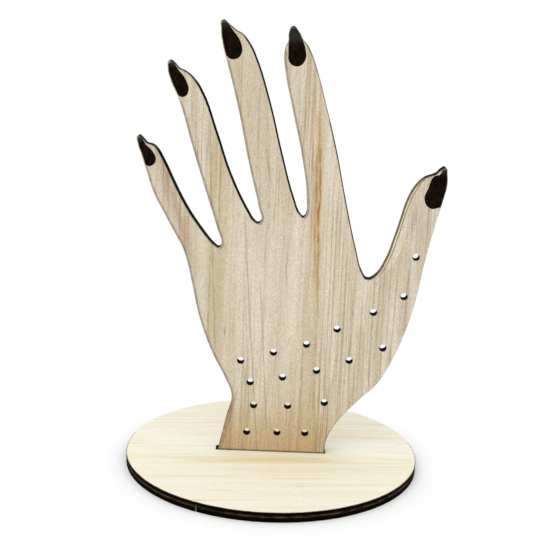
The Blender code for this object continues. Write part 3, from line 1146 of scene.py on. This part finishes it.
def makeBaseBoard():
    axis = Vector((0.0, 0.0, 1.0))
    middle = Vector((0.0, 0.0, discMiddle.z))
    piece = copyNode("base_disc", "baseBoard")
    cutPlies(piece, axis, middle)
    cutStartNick(piece)
    softenRim(piece, axis, middle)
    softenRim(piece, -axis, middle)
    writeCutEdge(piece, axis, middle, baseSoot)
    shadePiece(piece, makeBaseWood())
    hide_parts("base_disc")
    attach(piece, "base")
    print("base board", len(piece.data.polygons), "faces")


# The nails, each with a rounded rim and a low crown
nailMake = {
    "names": ("little", "ring", "middle", "index", "thumb"),
    "rim": 0.10 * mm,
    "rimRise": 0.05 * mm,
    "crown": 0.24 * mm,
    "rings": 6,
    "flatTop": 0.6,
}


def makeNail(name, material):
    nodeName = name + "_nail"
    piece = copyNode(nodeName, name + "Nail")
    low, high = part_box(nodeName)
    centre = Vector(((low.x + high.x) / 2, low.y, (low.z + high.z) / 2))
    startEdit(piece)
    pickParts(piece, lambda face: face.normal.y < -boardMake["faceTilt"])
    bpy.ops.mesh.inset(thickness=nailMake["rim"], depth=nailMake["rimRise"], use_even_offset=True)
    step = math.radians(90) / (nailMake["rings"] + nailMake["flatTop"])
    for count in range(nailMake["rings"]):
        before = step * count
        after = step * (count + 1)
        rise = nailMake["crown"] * (math.sin(after) - math.sin(before))
        shrink = math.cos(after) / math.cos(before)
        bpy.ops.mesh.extrude_region_move(TRANSFORM_OT_translate={"value": (0.0, -rise, 0.0)})
        bpy.ops.transform.resize(value=(shrink, 1.0, shrink), center_override=centre)
    endEdit()
    shadePiece(piece, material)
    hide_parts(nodeName)
    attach(piece, "hand")
    print(piece.name, len(piece.data.polygons), "faces")


makeHandBoard()
makeBaseBoard()
nailMaterial = makeNailBlack()
for nailName in nailMake["names"]:
    makeNail(nailName, nailMaterial)

# Camera, fitted to the disc, the holes and the foot: place in mm from the disc's middle, angles in degrees
cameraView = {
    "place": (0.4536, -555.2594, 235.2049),
    "yaw": -0.1687,
    "pitch": 13.8279,
    "roll": 2.1876,
    "lens": 74.31,
    "sensor": 36.0,
}


def makeCamera():
    yaw, pitch, roll = (math.radians(cameraView[name]) for name in ("yaw", "pitch", "roll"))
    ahead = Vector((math.sin(yaw) * math.cos(pitch), math.cos(yaw) * math.cos(pitch), -math.sin(pitch)))
    right = Vector((math.cos(yaw), -math.sin(yaw), 0.0))
    up = right.cross(ahead)
    sideways = right * math.cos(roll) + up * math.sin(roll)
    upward = up * math.cos(roll) - right * math.sin(roll)
    data = bpy.data.cameras.new("photoCamera")
    data.lens = cameraView["lens"]
    data.sensor_width = cameraView["sensor"]
    camera = makeObject("photoCamera", data)
    turn = Matrix((sideways, upward, -ahead)).transposed().to_4x4()
    place = Vector(cameraView["place"]) * mm + Vector((discMiddle.x, 0.0, 0.0))
    camera.matrix_world = Matrix.Translation(place) @ turn
    bpy.context.scene.camera = camera


# White studio: an even sky, a large soft lamp, and a floor that fades to white away from the stand
studio = {
    "sky": 0.93,
    "lampPlace": (-0.35, -0.90, 1.20),
    "lampAim": (0.0, 0.0, 0.1),
    "lampSize": 1.6,
    "lampPower": 5.0,
    "floorSize": 6.0,
    "floorDrop": 0.02 * mm,
    "floorTone": (0.96, 0.96, 0.96, 1.0),
    "floorRoughness": 0.9,
    "fadeStart": 71.0,
    "fadeEnd": 93.0,
}


def seenDirectly(tree):
    path = putNode(tree, "ShaderNodeLightPath")
    plain = calc(tree, "MAXIMUM", path.outputs["Is Camera Ray"], path.outputs["Is Glossy Ray"])
    return calc(tree, "MAXIMUM", plain, path.outputs["Is Transmission Ray"])


def makeStudio():
    world = bpy.data.worlds.new("whiteStudio")
    bpy.context.scene.world = world
    world.use_nodes = True
    tree = world.node_tree
    background = tree.nodes["Background"]
    background.inputs["Color"].default_value = (1.0, 1.0, 1.0, 1.0)
    level = putNode(tree, "ShaderNodeMapRange")
    feed(tree, level.inputs["Value"], seenDirectly(tree))
    level.inputs["To Min"].default_value = studio["sky"]
    feed(tree, background.inputs["Strength"], level.outputs["Result"])

    lamp = bpy.data.lights.new("softLamp", "AREA")
    lamp.energy = studio["lampPower"]
    lamp.size = studio["lampSize"]
    lampObject = makeObject("softLamp", lamp)
    lampObject.location = studio["lampPlace"]
    aim = Vector(studio["lampAim"]) - Vector(studio["lampPlace"])
    lampObject.rotation_euler = aim.to_track_quat("-Z", "Y").to_euler()

    bpy.ops.object.select_all(action="DESELECT")
    bpy.ops.mesh.primitive_plane_add(size=studio["floorSize"], location=(0.0, 0.0, -studio["floorDrop"]))
    floor = bpy.context.object
    floor.name = "studioFloor"
    material, tree, shader = newMaterial("studioFloor")
    shader.inputs["Base Color"].default_value = studio["floorTone"]
    shader.inputs["Roughness"].default_value = studio["floorRoughness"]
    shader.inputs["Specular IOR Level"].default_value = 0.0
    place = splitPlace(tree, placeInMm(tree))
    flat = joinPlace(tree, place[0], place[1], 0.0)
    length = putNode(tree, "ShaderNodeVectorMath", operation="LENGTH")
    feed(tree, length.inputs[0], flat)
    fade = ramp(tree, length.outputs["Value"], studio["fadeStart"], studio["fadeEnd"])
    white = putNode(tree, "ShaderNodeEmission")
    mix = putNode(tree, "ShaderNodeMixShader")
    feed(tree, mix.inputs["Fac"], times(tree, fade, seenDirectly(tree)))
    feed(tree, mix.inputs[1], shader.outputs[0])
    feed(tree, mix.inputs[2], white.outputs[0])
    feed(tree, tree.nodes["Material Output"].inputs["Surface"], mix.outputs[0])
    floor.data.materials.append(material)


makeCamera()
makeStudio()
bpy.context.scene.view_settings.view_transform = "Standard"
print("camera and studio made")
